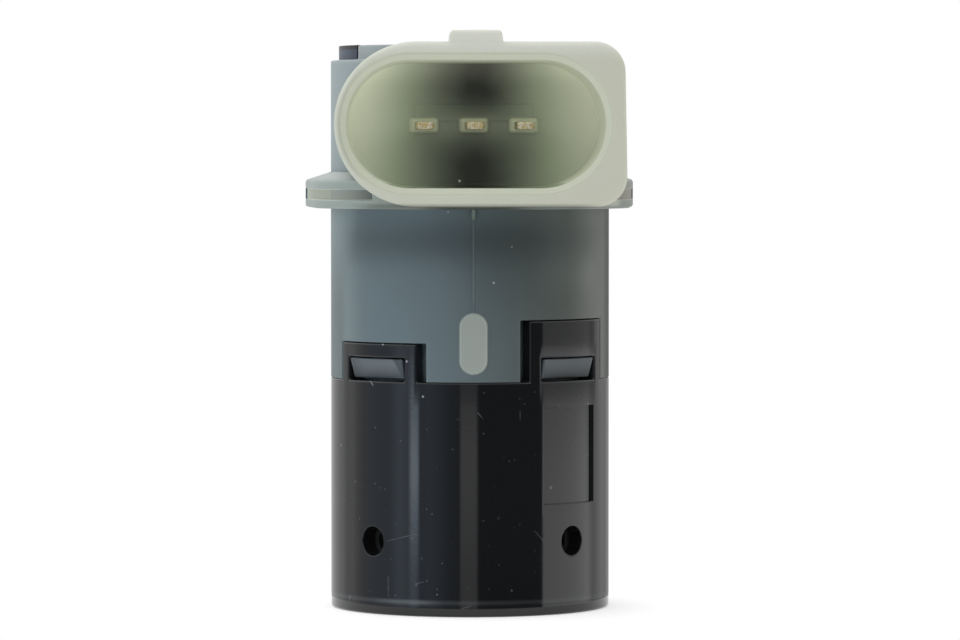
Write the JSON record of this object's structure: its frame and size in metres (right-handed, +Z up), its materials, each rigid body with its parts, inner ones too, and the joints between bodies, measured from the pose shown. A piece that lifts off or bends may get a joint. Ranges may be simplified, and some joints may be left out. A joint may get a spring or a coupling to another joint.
{
  "type": "parking sensor",
  "caption": "Ultrasonic parking sensor: round body with a glossy clip sleeve round the membrane, a translucent housing with wing slots, and a side connector socket with flat blades.",
  "frame": {"origin": "centre of the sensor face, on the axis of the round body", "axes": "+Z up the body from the sensor face to the top cover; -Y out of the mouth of the connector socket; +X to the right when one looks into the socket"},
  "size_m": [0.0284, 0.033, 0.0492],
  "materials": {
    "housing_plastic": "translucent grey polyamide, satin",
    "sleeve_plastic": "glossy black with fine scratches and dust",
    "cover_plastic": "dark blue-grey satin",
    "painted_cup": "aluminium with a satin primer coat on its face",
    "silicone": "matt silicone",
    "piezo_ceramic": "silvered ceramic",
    "foam_rubber": "soft foam",
    "lead_insulation": "thin wire insulation",
    "terminal_metal": "thinly plated brass",
    "board_laminate": "green solder resist",
    "ferrite": "ground ferrite",
    "bobbin_plastic": "moulded",
    "copper_wire": "enamelled copper",
    "chip_package": "moulded black",
    "capacitor_can": "satin can",
    "chip_ceramic": "fired ceramic",
    "solder": "bright solder",
    "potting_compound": "dark set compound"
  },
  "bodies": {
    "root": {"housing": "housing_plastic", "sleeve": "sleeve_plastic", "top_cover": "cover_plastic", "membrane_cup": "painted_cup", "decoupling_ring": "silicone", "piezo_disc": "piezo_ceramic", "absorber_pad": "foam_rubber", "damping_plug": "silicone", "isolator_disc": "foam_rubber", "piezo_lead": "lead_insulation", "cup_lead": "lead_insulation", "terminal_left": "terminal_metal", "terminal_middle": "terminal_metal", "terminal_right": "terminal_metal", "circuit_board": "board_laminate", "transformer_core_upper": "ferrite", "transformer_core_lower": "ferrite", "transformer_bobbin": "bobbin_plastic", "transformer_winding": "copper_wire", "control_chip": "chip_package", "buffer_capacitor": "capacitor_can", "diode": "chip_package", "chip_resistors": "chip_ceramic", "chip_capacitors": "chip_ceramic", "solder_joints": "solder", "potting": "potting_compound"}
  },
  "joints": []
}
